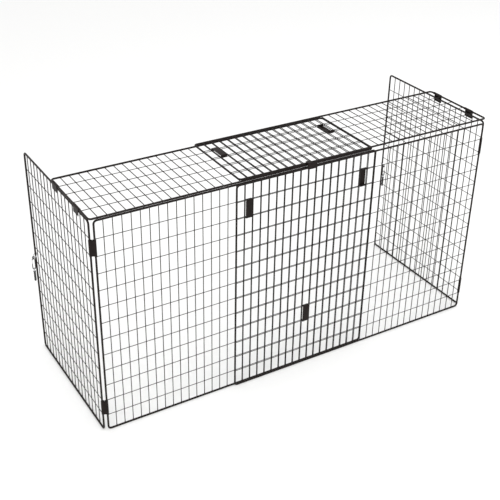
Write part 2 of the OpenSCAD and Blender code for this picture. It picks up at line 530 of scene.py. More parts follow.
def close_up(mesh: bmesh.types.BMesh) -> None:
    """Weld the seams of a mesh, close its open ends and turn its faces outwards.

    Args:
        mesh: The mesh.
    """
    bmesh.ops.remove_doubles(mesh, verts=mesh.verts, dist=WELD_REACH)
    open_edges = [edge for edge in mesh.edges if edge.is_boundary]
    if open_edges:
        bmesh.ops.holes_fill(mesh, edges=open_edges, sides=0)
    bmesh.ops.recalc_face_normals(mesh, faces=mesh.faces)


def soften(mesh: bmesh.types.BMesh, edges: list[bmesh.types.BMEdge], radius: float) -> None:
    """Round some edges of a mesh.

    Args:
        mesh: The mesh.
        edges: The edges.
        radius: How far back the rounding starts.
    """
    bmesh.ops.bevel(
        mesh, geom=edges, offset=radius, segments=2, profile=0.5, affect="EDGES", material=-1
    )


def close_ends(mesh: bmesh.types.BMesh, before: set[bmesh.types.BMVert]) -> list[bmesh.types.BMFace]:
    """Close the open ends of what was added to a mesh.

    Args:
        mesh: The mesh.
        before: The vertices that it held before.

    Returns:
        The faces that close the ends.
    """
    made = [vert for vert in mesh.verts if vert not in before]
    open_edges = [edge for edge in edges_in(geometry_of(made)) if edge.is_boundary]
    return bmesh.ops.holes_fill(mesh, edges=open_edges, sides=0)["faces"]


def add_rod(
    mesh: bmesh.types.BMesh, start: Vector, end: Vector, radius: float, sides: int
) -> list[bmesh.types.BMVert]:
    """Add a straight round rod with closed ends.

    Args:
        mesh: The mesh to add to.
        start: The middle of one end.
        end: The middle of the other end.
        radius: The rod's radius.
        sides: The sides of its section.

    Returns:
        The rod's vertices.
    """
    run = end - start
    turn = Z_AXIS.rotation_difference(run).to_matrix().to_4x4()
    made = bmesh.ops.create_cone(
        mesh,
        cap_ends=True,
        segments=sides,
        radius1=radius,
        radius2=radius,
        depth=run.length,
        matrix=Matrix.Translation((start + end) / 2) @ turn,
    )
    return made["verts"]


def add_bead(mesh: bmesh.types.BMesh, centre: Vector, radii: Vector) -> list[bmesh.types.BMVert]:
    """Add a small rounded bead of weld.

    Args:
        mesh: The mesh to add to.
        centre: The bead's middle.
        radii: Its three half sizes.

    Returns:
        The bead's vertices.
    """
    place = Matrix.Translation(centre) @ Matrix.Diagonal((*radii, 1))
    return bmesh.ops.create_uvsphere(mesh, u_segments=8, v_segments=5, radius=1, matrix=place)["verts"]


def repeat(mesh: bmesh.types.BMesh, verts: list[bmesh.types.BMVert], step: Vector, copies: int) -> None:
    """Repeat shells along a line.

    Args:
        mesh: The mesh that holds them.
        verts: The vertices of the shells.
        step: The way from one copy to the next.
        copies: How many copies are added.
    """
    bmesh.ops.spin(
        mesh, geom=geometry_of(verts), axis=Z_AXIS, dvec=step, angle=0, steps=copies, use_duplicate=True
    )


@dataclass
class WirePanel:
    """A frame rod bent round four corners, with pales and rails welded into it."""

    node: str
    along: Vector
    up: Vector
    rails_side: int
    pale_pitch: float = 25.4 * MM
    rail_pitch: float = 50.8 * MM
    pale_radius: float = 1.25 * MM
    rail_radius: float = 1.0 * MM
    bend_radius: float = 9 * MM
    weld_sink: float = 0.15 * MM
    crossing_bead: Vector = Vector((1.6, 1.5, 0.75)) * MM
    pale_foot: Vector = Vector((1.9, 1.4, 1.5)) * MM
    rail_foot: Vector = Vector((1.3, 1.6, 1.3)) * MM
    rod_sides: int = 20
    wire_sides: int = 8
    bend_steps: int = 10

    def __post_init__(self) -> None:
        """Work out the panel's size and place from its CAD node."""
        low, high = (Vector(corner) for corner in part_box(self.node))
        size = high - low
        self.rod_radius = min(size) / 2
        inset = Vector((1, 1, 1)) * self.rod_radius
        self.width = size.dot(self.along) - 2 * self.rod_radius
        self.height = size.dot(self.up) - 2 * self.rod_radius
        self.columns = round(self.width / self.pale_pitch)
        self.rows = round(self.height / self.rail_pitch)
        self.place = place_matrix(low + inset, self.along, self.up)
        self.rail_plane = self.rails_side * (self.rail_radius - self.weld_sink)
        self.pale_plane = -self.rails_side * (self.pale_radius - self.weld_sink)

    def add_frame_rod(self, mesh: bmesh.types.BMesh) -> None:
        """Bend the frame rod round the panel, from the lower left corner and back to it.

        Args:
            mesh: The mesh to add to.
        """
        bend = self.bend_radius
        ring = bmesh.ops.create_circle(
            mesh,
            segments=self.rod_sides,
            radius=self.rod_radius,
            matrix=Matrix.Translation((bend, 0, 0)) @ Matrix.Rotation(QUARTER, 4, "Y"),
        )
        edges = edges_in(geometry_of(ring["verts"]))
        right, top = self.width - bend, self.height - bend
        legs = (
            (Vector((self.width - 2 * bend, 0, 0)), Vector((right, bend, 0))),
            (Vector((0, self.height - 2 * bend, 0)), Vector((right, top, 0))),
            (Vector((2 * bend - self.width, 0, 0)), Vector((bend, top, 0))),
            (Vector((0, 2 * bend - self.height, 0)), Vector((bend, bend, 0))),
        )
        for run, corner in legs:
            grown = bmesh.ops.extrude_edge_only(mesh, edges=edges)["geom"]
            bmesh.ops.translate(mesh, verts=verts_in(grown), vec=run)
            bent = bmesh.ops.spin(
                mesh,
                geom=[*verts_in(grown), *edges_in(grown)],
                cent=corner,
                axis=Z_AXIS,
                angle=QUARTER,
                steps=self.bend_steps,
            )
            edges = edges_in(bent["geom_last"])
        close_up(mesh)

    def add_pales(self, mesh: bmesh.types.BMesh) -> None:
        """Add the close-set wires, with a bead of weld at each rail and at both ends.

        Args:
            mesh: The mesh to add to.
        """
        column, plane = self.pale_pitch, self.pale_plane
        foot, head = Vector((column, 0, plane)), Vector((column, self.height, plane))
        verts = add_rod(mesh, foot, head, self.pale_radius, self.wire_sides)
        for row in range(1, self.rows):
            verts += add_bead(mesh, Vector((column, row * self.rail_pitch, 0)), self.crossing_bead)
        inside = self.rod_radius * 0.85
        for end in (inside, self.height - inside):
            verts += add_bead(mesh, Vector((column, end, plane)), self.pale_foot)
        repeat(mesh, verts, X_AXIS * column, self.columns - 2)

    def add_rails(self, mesh: bmesh.types.BMesh) -> None:
        """Add the wide-set wires, with a bead of weld at both ends.

        Args:
            mesh: The mesh to add to.
        """
        row, plane = self.rail_pitch, self.rail_plane
        near, far = Vector((0, row, plane)), Vector((self.width, row, plane))
        verts = add_rod(mesh, near, far, self.rail_radius, self.wire_sides)
        inside = self.rod_radius * 0.9
        for end in (inside, self.width - inside):
            verts += add_bead(mesh, Vector((end, row, plane)), self.rail_foot)
        repeat(mesh, verts, Y_AXIS * row, self.rows - 2)

    def build(self, bench: Workbench) -> bpy.types.Object:
        """Make the panel.

        Args:
            bench: Where pieces are finished.

        Returns:
            The panel.
        """
        mesh = bmesh.new()
        self.add_frame_rod(mesh)
        self.add_pales(mesh)
        self.add_rails(mesh)
        bmesh.ops.transform(mesh, matrix=self.place, verts=mesh.verts)
        return bench.add(self.node, mesh, sharp=60)


@dataclass
class CornerClip:
    """A strip folded round a front rod and a side rod, with its ends meeting on the inner side."""

    node: str
    front_rod: Vector
    side_rod: Vector
    gauge: float = 0.8 * MM
    waist: float = 1.1 * MM
    seam: float = 0.5 * MM
    edge: float = 0.18 * MM
    bend_steps: int = 14
    leg_steps: int = 10

    def outline(self, mesh: bmesh.types.BMesh) -> None:
        """Draw the strip's middle line round the two rods, from one side of the seam to the other.

        Args:
            mesh: The mesh to draw in.
        """
        low, high = (Vector(corner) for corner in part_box(self.node))
        radius = self.strip_radius(low, high)
        span = self.side_rod - self.front_rod
        across = Z_AXIS.cross(span).normalized()
        inward = 1 if across.y > 0 else -1
        near = across * radius * inward
        middle = (self.front_rod + self.side_rod) / 2
        half_seam = span.normalized() * self.seam / 2
        base = Vector((0, 0, low.z))
        line = bmesh.ops.create_vert(mesh, co=middle + near - half_seam + base)["vert"]
        line = self.leg(mesh, line[0], self.front_rod + near + base)
        line = self.wrap(mesh, line, self.front_rod + base, inward)
        line = self.leg(mesh, line, self.side_rod - near + base)
        line = self.wrap(mesh, line, self.side_rod + base, inward)
        self.leg(mesh, line, middle + near + half_seam + base)
        for vert in mesh.verts:
            self.pinch(vert, middle, span, across)

    def strip_radius(self, low: Vector, high: Vector) -> float:
        """The radius of the strip's middle line round a rod, from the clip's box."""
        outer = (high.x - low.x - abs(self.side_rod.x - self.front_rod.x)) / 2
        return outer - self.gauge / 2

    def leg(self, mesh: bmesh.types.BMesh, vert: bmesh.types.BMVert, end: Vector) -> bmesh.types.BMVert:
        """Draw a straight stretch in short steps.

        Args:
            mesh: The mesh to draw in.
            vert: Where the stretch starts.
            end: Where it ends.

        Returns:
            The last vertex.
        """
        step = (end - vert.co) / self.leg_steps
        for _ in range(self.leg_steps):
            vert = verts_in(bmesh.ops.extrude_vert_indiv(mesh, verts=[vert])["verts"])[0]
            vert.co += step
        return vert

    def wrap(
        self, mesh: bmesh.types.BMesh, vert: bmesh.types.BMVert, rod: Vector, turn: int
    ) -> bmesh.types.BMVert:
        """Draw a half turn round a rod.

        Args:
            mesh: The mesh to draw in.
            vert: Where the turn starts.
            rod: The rod's axis.
            turn: 1 to turn anticlockwise from above, -1 to turn clockwise.

        Returns:
            The last vertex.
        """
        made = bmesh.ops.spin(
            mesh, geom=[vert], cent=rod, axis=Z_AXIS, angle=turn * HALF, steps=self.bend_steps
        )
        return verts_in(made["geom_last"])[0]

    def pinch(self, vert: bmesh.types.BMVert, middle: Vector, span: Vector, across: Vector) -> None:
        """Press the strip in between the rods.

        Args:
            vert: A vertex of the strip.
            middle: The point midway between the rods.
            span: The way from the front rod to the side rod.
            across: The direction in which the strip is pressed.
        """
        offset = vert.co - middle
        share = abs(offset.dot(span.normalized())) / (span.length / 2)
        if share < 1:
            side = math.copysign(1, offset.dot(across))
            vert.co -= across * side * self.waist * (1 + math.cos(share * HALF)) / 2

    def build(self, bench: Workbench) -> bpy.types.Object:
        """Make the clip.

        Args:
            bench: Where pieces are finished.

        Returns:
            The clip.
        """
        low, high = (Vector(corner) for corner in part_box(self.node))
        mesh = bmesh.new()
        self.outline(mesh)
        grown = bmesh.ops.extrude_edge_only(mesh, edges=mesh.edges)["geom"]
        bmesh.ops.translate(mesh, verts=verts_in(grown), vec=Z_AXIS * (high.z - low.z))
        bmesh.ops.recalc_face_normals(mesh, faces=mesh.faces)
        return bench.add_sheet(self.node, mesh, self.gauge, self.edge)


@dataclass
class SideHook:
    """A strip bent over the lid's end rod, with a long leg outside the side panel's top rod."""

    node: str
    side: Side
    rod_height: float
    inner_leg: float = 1.6 * MM
    gauge: float = 0.8 * MM
    corner: float = 2.5 * MM
    edge: float = 0.18 * MM
    bend_steps: int = 14

    def build(self, bench: Workbench) -> bpy.types.Object:
        """Make the hook.

        Args:
            bench: Where pieces are finished.

        Returns:
            The hook.
        """
        low, high = (Vector(corner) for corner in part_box(self.node))
        rod = Vector(((low.x + high.x) / 2, low.y, self.rod_height))
        radius = (high.x - low.x - self.gauge) / 2
        outwards = self.side.value
        mesh = bmesh.new()
        tip = rod + Vector((-outwards * radius, 0, -self.inner_leg))
        vert = bmesh.ops.create_vert(mesh, co=tip)["vert"][0]
        vert = bmesh.ops.extrude_vert_indiv(mesh, verts=[vert])["verts"][0]
        vert.co.z = rod.z
        bent = bmesh.ops.spin(
            mesh, geom=[vert], cent=rod, axis=Y_AXIS, angle=outwards * HALF, steps=self.bend_steps
        )
        vert = verts_in(bent["geom_last"])[0]
        vert = bmesh.ops.extrude_vert_indiv(mesh, verts=[vert])["verts"][0]
        vert.co.z = low.z
        grown = bmesh.ops.extrude_edge_only(mesh, edges=mesh.edges)["geom"]
        bmesh.ops.translate(mesh, verts=verts_in(grown), vec=Y_AXIS * (high.y - low.y))
        feet = [vert for vert in mesh.verts if vert.co.z < low.z + self.edge]
        bmesh.ops.bevel(
            mesh, geom=feet, offset=self.corner, segments=5, profile=0.5, affect="VERTICES", material=-1
        )
        bmesh.ops.recalc_face_normals(mesh, faces=mesh.faces)
        return bench.add_sheet(self.node, mesh, self.gauge, self.edge)


@dataclass
class Tab:
    """A tab folded square off a plate's top or bottom edge, between two places across the plate."""

    edge: PlateEdge
    start: float
    end: float
    reach: float


@dataclass
class TabPlate:
    """A flat plate with tabs folded back from its edges.

    Local X runs across the plate, Y up it and Z out of its face. The origin is at the plate's lower
    left corner, on its middle surface.
    """

    node: str
    place: Matrix
    width: float
    height: float
    tabs: list[Tab]
    gauge: float
    fold_radius: float = 1.0 * MM
    corner: float = 1.2 * MM
    edge: float = 0.18 * MM
    fold_steps: int = 6

    def fold(self, mesh: bmesh.types.BMesh, tab: Tab) -> None:
        """Fold a tab off the plate.

        Args:
            mesh: The plate's middle surface.
            tab: The tab.
        """
        line = self.height - self.fold_radius if tab.edge is PlateEdge.TOP else self.fold_radius
        chosen = []
        for edge in mesh.edges:
            middle = (edge.verts[0].co + edge.verts[1].co) / 2
            off_line = max(max(abs(vert.co.y - line), abs(vert.co.z)) for vert in edge.verts)
            if off_line < self.edge and edge.is_boundary and tab.start < middle.x < tab.end:
                chosen.append(edge)
        ends = list({vert for edge in chosen for vert in edge.verts})
        bent = bmesh.ops.spin(
            mesh,
            geom=[*ends, *chosen],
            cent=Vector((0, line, -self.fold_radius)),
            axis=X_AXIS,
            angle=-tab.edge.value * QUARTER,
            steps=self.fold_steps,
        )
        grown = bmesh.ops.extrude_edge_only(mesh, edges=edges_in(bent["geom_last"]))["geom"]
        length = tab.reach - self.fold_radius
        bmesh.ops.translate(mesh, verts=verts_in(grown), vec=-Z_AXIS * length)

    def build(self, bench: Workbench) -> bpy.types.Object:
        """Make the plate.

        Args:
            bench: Where pieces are finished.

        Returns:
            The plate.
        """
        mesh = bmesh.new()
        flat_height = self.height - 2 * self.fold_radius
        grid = bmesh.ops.create_grid(mesh, x_segments=1, y_segments=1, size=0.5)["verts"]
        bmesh.ops.scale(mesh, verts=grid, vec=(self.width, flat_height, 1))
        bmesh.ops.translate(mesh, verts=grid, vec=(self.width / 2, self.height / 2, 0))
        for cut in {side for tab in self.tabs for side in (tab.start, tab.end)}:
            bmesh.ops.bisect_plane(
                mesh, geom=all_geometry(mesh), dist=0.01 * MM, plane_co=X_AXIS * cut, plane_no=X_AXIS
            )
        for tab in self.tabs:
            self.fold(mesh, tab)
        corners = [vert for vert in mesh.verts if len(vert.link_faces) == 1]
        bmesh.ops.bevel(
            mesh, geom=corners, offset=self.corner, segments=4, profile=0.5, affect="VERTICES", material=-1
        )
        bmesh.ops.transform(mesh, matrix=self.place, verts=mesh.verts)
        return bench.add_sheet(self.node, mesh, self.gauge, self.edge)


@dataclass
class Joiner:
    """A clip that holds two lapping panels together: a plate in one cell, with a lug at each end."""

    node: str
    across: Vector
    up: Vector
    gauge: float = 0.8 * MM
    lug_width: float = 20 * MM

    def build(self, bench: Workbench) -> bpy.types.Object:
        """Make the joiner.

        Args:
            bench: Where pieces are finished.

        Returns:
            The joiner.
        """
        low, high = (Vector(corner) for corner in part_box(self.node))
        size = high - low
        out = self.across.cross(self.up)
        width, height, depth = abs(size.dot(self.across)), abs(size.dot(self.up)), abs(size.dot(out))
        middle = (low + high) / 2
        face = middle + out * (depth - self.gauge) / 2
        corner = face - self.across * width / 2 - self.up * (height - self.gauge) / 2
        shoulder = (width - self.lug_width) / 2
        tabs = [Tab(edge, shoulder, width - shoulder, depth - self.gauge / 2) for edge in PlateEdge]
        place = place_matrix(corner, self.across, self.up)
        return TabPlate(self.node, place, width, height - self.gauge, tabs, self.gauge).build(bench)


@dataclass
class LidKeeper:
    """The clip that ties the lid's front rods to the front's top rods: a plate, a tab and a lug."""

    node: str
    gauge: float = 1.0 * MM
    tab_width: float = 16.4 * MM
    lug_gap: float = 8.7 * MM
    lug_reach: float = 6.4 * MM

    def build(self, bench: Workbench) -> bpy.types.Object:
        """Make the keeper.

        Args:
            bench: Where pieces are finished.

        Returns:
            The keeper.
        """
        low, high = (Vector(corner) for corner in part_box(self.node))
        size = high - low
        half = self.gauge / 2
        corner = low + Vector((0, half, half))
        tabs = [
            Tab(PlateEdge.TOP, 0, self.tab_width, size.y - half),
            Tab(PlateEdge.BOTTOM, self.lug_gap, size.x, self.lug_reach),
        ]
        place = place_matrix(corner, X_AXIS, Z_AXIS)
        return TabPlate(self.node, place, size.x, size.z - self.gauge, tabs, self.gauge).build(bench)


def draw_outline(
    mesh: bmesh.types.BMesh, points: list[tuple[float, float]], closed: bool
) -> list[bmesh.types.BMVert | bmesh.types.BMEdge]:
    """Draw an outline in the XZ plane.

    Args:
        mesh: The mesh to draw in.
        points: The outline's points, each a radius and a height.
        closed: Whether the outline closes on itself.

    Returns:
        The outline's vertices and edges.
    """
    verts = []
    for radius, height in points:
        verts += bmesh.ops.create_vert(mesh, co=(radius, 0, height))["vert"]
    pairs = list(zip(verts, verts[1:]))
    if closed:
        pairs.append((verts[-1], verts[0]))
    return [*verts, *(mesh.edges.new(pair) for pair in pairs)]


def lathe(mesh: bmesh.types.BMesh, points: list[tuple[float, float]], closed: bool, steps: int) -> None:
    """Turn an outline round the Z axis.

    Args:
        mesh: The mesh to add to.
        points: The outline's points, each a radius and a height.
        closed: Whether the outline closes on itself, as round a bore.
        steps: The steps of the full turn.
    """
    outline = draw_outline(mesh, points, closed)
    bmesh.ops.spin(mesh, geom=outline, axis=Z_AXIS, angle=FULL, steps=steps, use_merge=True)
    bmesh.ops.remove_doubles(mesh, verts=mesh.verts, dist=WELD_REACH)


def add_open_ring(
    mesh: bmesh.types.BMesh,
    place: Matrix,
    radius: float,
    wire: float,
    gap: float,
    sides: int = 16,
    steps: int = 56,
) -> None:
    """Add a wire bent into a ring, with its ends meeting at a narrow gap.

    Args:
        mesh: The mesh to add to.
        place: Where the ring goes. It lies in local XY and its gap is on local X.
        radius: The ring's radius, at the middle of its wire.
        wire: The wire's radius.
        gap: The angle of the gap.
        sides: The sides of the wire's section.
        steps: The steps of the turn.
    """
    start = Matrix.Translation((radius, 0, 0)) @ Matrix.Rotation(QUARTER, 4, "X")
    start = Matrix.Rotation(gap / 2, 4, "Z") @ start
    ring = bmesh.ops.create_circle(mesh, segments=sides, radius=wire, matrix=start)["verts"]
    edges = edges_in(geometry_of(ring))
    before = set(mesh.verts) - set(ring)
    bmesh.ops.spin(mesh, geom=[*ring, *edges], axis=Z_AXIS, angle=FULL - gap, steps=steps)
    rim = list({edge for face in close_ends(mesh, before) for edge in face.edges})
    soften(mesh, rim, wire * 0.25)
    made = [vert for vert in mesh.verts if vert not in before]
    bmesh.ops.transform(mesh, matrix=place, verts=made)


@dataclass
class WallHook:
    """The fittings on one side's back rod: a ring, a snap hook with its gate, a wall eye and its plug."""

    side: Side
    ring_tilt: float = math.radians(45)
    ring_gap: float = math.radians(2.5)
    casting_grain: float = 0.22 * MM
    gate_thickness: float = 1.6 * MM
    gate_boss_radius: float = 1.45 * MM
    gate_ridges: int = 4
    gate_ridge_pitch: float = 1.1 * MM
    gate_pin_radius: float = 0.8 * MM
    pin_head: float = 0.5 * MM
    eye_wire: float = 1.1 * MM
    eye_gap: float = math.radians(14)
    collar_radius: float = 2.9 * MM
    collar_height: float = 1.2 * MM
    collar_drop: float = 1.8 * MM
    shank_radius: float = 1.7 * MM
    shank_tip: float = 1.5 * MM
    thread_pitch: float = 1.5 * MM
    thread_depth: float = 0.35 * MM
    thread_steps: int = 20
    bore_radius: float = 1.9 * MM
    plug_radius: float = 3.4 * MM
    plug_rim_height: float = 1.2 * MM
    plug_tip: float = 4 * MM
    plug_tip_radius: float = 2.6 * MM
    barbs: int = 7
    barb_depth: float = 0.45 * MM
    slit_width: float = 0.9 * MM

    def node(self, stem: str) -> str:
        """The CAD node of this side with that stem."""
        return f"{stem}_{self.side.word}"

    @property
    def place(self) -> Matrix:
        """Turns local Y, in which the hook is drawn, outwards from this side."""
        return Matrix.Rotation(-self.side.value * QUARTER, 4, "Z")

    def box_of(self, stem: str) -> tuple[Vector, Vector]:
        """Find the box of a CAD node of this side in the hook's local frame.

        Args:
            stem: The node's stem.

        Returns:
            The box's lowest and highest corners.
        """
        ends = [self.place.inverted() @ Vector(corner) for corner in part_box(self.node(stem))]
        low, high = (Vector(tuple(map(pick, *ends))) for pick in (min, max))
        return low, high

    def put(
        self, bench: Workbench, stem: str, mesh: bmesh.types.BMesh, sharp: float = 40
    ) -> bpy.types.Object:
        """Turn a finished mesh outwards and make its piece.

        Args:
            bench: Where pieces are finished.
            stem: The stem of the CAD node that the piece stands for.
            mesh: The mesh, in the hook's local frame. It is freed.
            sharp: Edges bent by more than this many degrees stay sharp.

        Returns:
            The piece.
        """
        bmesh.ops.recalc_face_normals(mesh, faces=mesh.faces)
        bmesh.ops.transform(mesh, matrix=self.place, verts=mesh.verts)
        return bench.add(self.node(stem), mesh, sharp)

    def build_ring(self, bench: Workbench) -> bpy.types.Object:
        """Bend the zinc ring round the back rod.

        Args:
            bench: Where pieces are finished.

        Returns:
            The ring.
        """
        low, high = self.box_of("hook_ring")
        size = high - low
        radius = (size.x - size.z) / 2 / (1 - math.sin(self.ring_tilt))
        wire = size.x / 2 - radius
        down = Vector((0, math.cos(self.ring_tilt), -math.sin(self.ring_tilt)))
        mesh = bmesh.new()
        place = place_matrix((low + high) / 2, down.cross(X_AXIS).cross(down), down)
        add_open_ring(mesh, place, radius, wire, self.ring_gap)
        return self.put(bench, "hook_ring", mesh)

    def build_snap_hook(self, bench: Workbench) -> bpy.types.Object:
        """Round the edges of the cast hook, as its mould leaves them.

        Args:
            bench: Where pieces are finished.

        Returns:
            The hook.
        """
        node = self.node("snap_hook")
        mesh = bmesh.new()
        mesh.from_mesh(frame["nodes"][node].data)
        bmesh.ops.remove_doubles(mesh, verts=mesh.verts, dist=WELD_REACH)
        rough = bpy.data.meshes.new("casting")
        mesh.to_mesh(rough)
        mesh.free()
        casting = bpy.data.objects.new("casting", rough)
        bpy.context.scene.collection.objects.link(casting)
        fused = casting.modifiers.new("fused", "REMESH")
        fused.mode = "VOXEL"
        fused.voxel_size = self.casting_grain
        graph = bpy.context.evaluated_depsgraph_get()
        mesh = bmesh.new()
        mesh.from_object(casting, graph)
        bpy.data.objects.remove(casting)
        for _ in range(5):
            bmesh.ops.smooth_vert(
                mesh, verts=mesh.verts, factor=0.5, use_axis_x=True, use_axis_y=True, use_axis_z=True
            )
        return bench.add(node, mesh, sharp=75)

    def build_gate(self, bench: Workbench) -> bpy.types.Object:
        """Make the hook's sprung gate: a boss on the pin, a bar and ridges for the thumb.

        Args:
            bench: Where pieces are finished.

        Returns:
            The gate.
        """
        low, high = self.box_of("hook_gate")
        middle_x = (low.x + high.x) / 2
        pivot = self.gate_pivot()
        mesh = bmesh.new()
        half = X_AXIS * self.gate_thickness / 2
        add_rod(mesh, pivot - half, pivot + half, self.gate_boss_radius, 28)
        soften(mesh, [edge for edge in mesh.edges if edge.calc_face_angle(0) > 1], 0.2 * MM)
        depth = high.y - pivot.y
        bar_size = Vector((self.gate_thickness, depth * 0.92, pivot.z - low.z))
        centre = Vector((middle_x, high.y - bar_size.y / 2, low.z + bar_size.z / 2))
        self.add_block(mesh, centre, bar_size, 0.3 * MM)
        for step in range(self.gate_ridges):
            height = low.z + 2 * MM + step * self.gate_ridge_pitch
            ridge = Vector((middle_x, high.y - 0.1 * MM, height))
            self.add_block(mesh, ridge, Vector((self.gate_thickness, 0.2 * MM, 0.5 * MM)), 0.08 * MM)
        return self.put(bench, "hook_gate", mesh)

    def gate_pivot(self) -> Vector:
        """The middle of the gate's pin."""
        low, high = self.box_of("gate_pin")
        return (low + high) / 2

    def add_block(self, mesh: bmesh.types.BMesh, centre: Vector, size: Vector, edge: float) -> None:
        """Add a block with rounded edges.

        Args:
            mesh: The mesh to add to.
            centre: The block's middle.
            size: Its three sizes.
            edge: The radius of its edges.
        """
        place = Matrix.Translation(centre) @ Matrix.Diagonal((*size, 1))
        verts = bmesh.ops.create_cube(mesh, size=1, matrix=place)["verts"]
        soften(mesh, edges_in(geometry_of(verts)), edge)

    def build_gate_pin(self, bench: Workbench) -> bpy.types.Object:
        """Turn the gate's rivet, with a low dome on each head.

        Args:
            bench: Where pieces are finished.

        Returns:
            The rivet.
        """
        low, high = self.box_of("gate_pin")
        reach = (high.x - low.x) / 2
        head = (high.z - low.z) / 2
        under = reach - self.pin_head
        dome = [
            (head, under),
            (head, under + 0.2 * MM),
            (head * 0.8, reach - 0.1 * MM),
            (head * 0.45, reach),
            (0, reach),
        ]
        outline = [(radius, -height) for radius, height in reversed(dome)]
        outline += [(self.gate_pin_radius, -under), (self.gate_pin_radius, under)] + dome
        mesh = bmesh.new()
        lathe(mesh, outline, False, 32)
        place = Matrix.Translation(self.gate_pivot()) @ Matrix.Rotation(QUARTER, 4, "Y")
        bmesh.ops.transform(mesh, matrix=place, verts=mesh.verts)
        return self.put(bench, "gate_pin", mesh)

    def build_wall_eye(self, bench: Workbench) -> bpy.types.Object:
        """Make the wall eye: a bent loop, a pressed collar and a threaded shank.

        Args:
            bench: Where pieces are finished.

        Returns:
            The wall eye.
        """
        low, high = self.box_of("wall_eye")
        loop_radius = (high.x - low.x) / 2 - self.eye_wire
        middle = (low + high) / 2
        eye = Vector((middle.x, middle.y, high.z - loop_radius - self.eye_wire))
        collar_foot = eye.z - loop_radius - self.collar_drop
        collar_top = collar_foot + self.collar_height
        mesh = bmesh.new()
        add_open_ring(mesh, place_matrix(eye, -Z_AXIS, X_AXIS), loop_radius, self.eye_wire, self.eye_gap)
        neck = eye.z - loop_radius + self.eye_wire * 0.4
        collar = [
            (self.eye_wire * 1.5, collar_top),
            (self.collar_radius - 0.3 * MM, collar_top),
            (self.collar_radius, collar_top - 0.3 * MM),
            (self.collar_radius, collar_foot + 0.2 * MM),
            (self.collar_radius - 0.2 * MM, collar_foot),
        ]
        core = self.shank_radius - self.thread_depth
        thread_foot = low.z + self.shank_tip
        shank = [(core, collar_foot), (core, thread_foot), (core * 0.5, low.z), (0, low.z)]
        turned = bmesh.new()
        lathe(turned, [(0, neck), (self.eye_wire * 0.9, neck), *collar, *shank], False, 40)
        self.add_thread(turned, collar_foot - 0.5 * MM, thread_foot, core)
        bmesh.ops.translate(turned, verts=turned.verts, vec=(eye.x, eye.y, 0))
        scratch = bpy.data.meshes.new("turned")
        turned.to_mesh(scratch)
        turned.free()
        mesh.from_mesh(scratch)
        bpy.data.meshes.remove(scratch)
        return self.put(bench, "wall_eye", mesh)

    def add_thread(self, mesh: bmesh.types.BMesh, top: float, foot: float, core: float) -> None:
        """Wind the thread's ridge down the shank.

        Args:
            mesh: The mesh to add to.
            top: The height where the thread starts.
            foot: The height where it ends.
            core: The radius of the shank under the thread.
        """
        before = set(mesh.verts)
        half = self.thread_pitch * 0.3
        root = core - 0.1 * MM
        points = [(root, top - half), (self.shank_radius, top), (root, top + half)]
        turns = int((top - foot) / self.thread_pitch)
        bmesh.ops.spin(
            mesh,
            geom=draw_outline(mesh, points, True),
            axis=Z_AXIS,
            dvec=Z_AXIS * (-self.thread_pitch / self.thread_steps),
            angle=FULL * turns,
            steps=self.thread_steps * turns,
        )
        close_ends(mesh, before)

    def build_wall_plug(self, bench: Workbench) -> bpy.types.Object:
        """Make the plug: a rim, barbed rings, a tapered tip, a bore and two slits.

        Args:
            bench: Where pieces are finished.

        Returns:
            The plug.
        """
        low, high = self.box_of("wall_plug")
        rim_radius = (high.x - low.x) / 2
        middle = (low + high) / 2
        rim_foot = high.z - self.plug_rim_height
        barb_top, barb_foot = rim_foot - 2 * MM, low.z + self.plug_tip + 1 * MM
        outline = [
            (self.bore_radius, high.z),
            (rim_radius - 0.3 * MM, high.z),
            (rim_radius, high.z - 0.3 * MM),
            (rim_radius, rim_foot),
            (self.plug_radius, rim_foot),
            (self.plug_radius, barb_top),
        ]
        pitch = (barb_top - barb_foot) / self.barbs
        for index in range(self.barbs):
            start = barb_top - index * pitch
            outline.append((self.plug_radius - self.barb_depth, start - 0.25 * pitch))
            outline.append((self.plug_radius, start - 0.9 * pitch))
            outline.append((self.plug_radius, start - pitch))
        outline += [
            (self.plug_radius, low.z + self.plug_tip),
            (self.plug_tip_radius, low.z + 0.3 * MM),
            (self.plug_tip_radius - 0.3 * MM, low.z),
            (self.bore_radius, low.z),
        ]
        mesh = bmesh.new()
        lathe(mesh, outline, True, 40)
        bmesh.ops.translate(mesh, verts=mesh.verts, vec=(middle.x, middle.y, 0))
        piece = self.put(bench, "wall_plug", mesh, sharp=30)
        slit_top = low.z + (rim_foot - low.z) * 0.72
        centre = self.place @ Vector((middle.x, middle.y, (slit_top + low.z) / 2 - 1 * MM))
        self.cut_slit(piece, centre, slit_top - low.z + 2 * MM)
        return piece

    def cut_slit(self, piece: bpy.types.Object, centre: Vector, height: float) -> None:
        """Cut the slit that lets the plug spread.

        Args:
            piece: The plug.
            centre: The slit's middle.
            height: How tall it is.
        """
        cutter_mesh = bmesh.new()
        size = Vector((self.plug_radius * 3, self.slit_width, height))
        self.add_block(cutter_mesh, centre, size, 0.2 * MM)
        data = bpy.data.meshes.new("slit")
        cutter_mesh.to_mesh(data)
        cutter_mesh.free()
        cutter = bpy.data.objects.new("slit", data)
        bpy.context.scene.collection.objects.link(cutter)
        cut = piece.modifiers.new("slit", "BOOLEAN")
        cut.operation = "DIFFERENCE"
        cut.solver = "EXACT"
        cut.object = cutter
        graph = bpy.context.evaluated_depsgraph_get()
        spread_mesh = bpy.data.meshes.new_from_object(piece.evaluated_get(graph))
        piece.modifiers.remove(cut)
        bpy.data.objects.remove(cutter)
        piece.data = spread_mesh

    def build(self, bench: Workbench) -> None:
        """Make every fitting of this side.

        Args:
            bench: Where pieces are finished.
        """
        self.build_ring(bench)
        self.build_snap_hook(bench)
        self.build_gate(bench)
        self.build_gate_pin(bench)
        self.build_wall_eye(bench)
        self.build_wall_plug(bench)


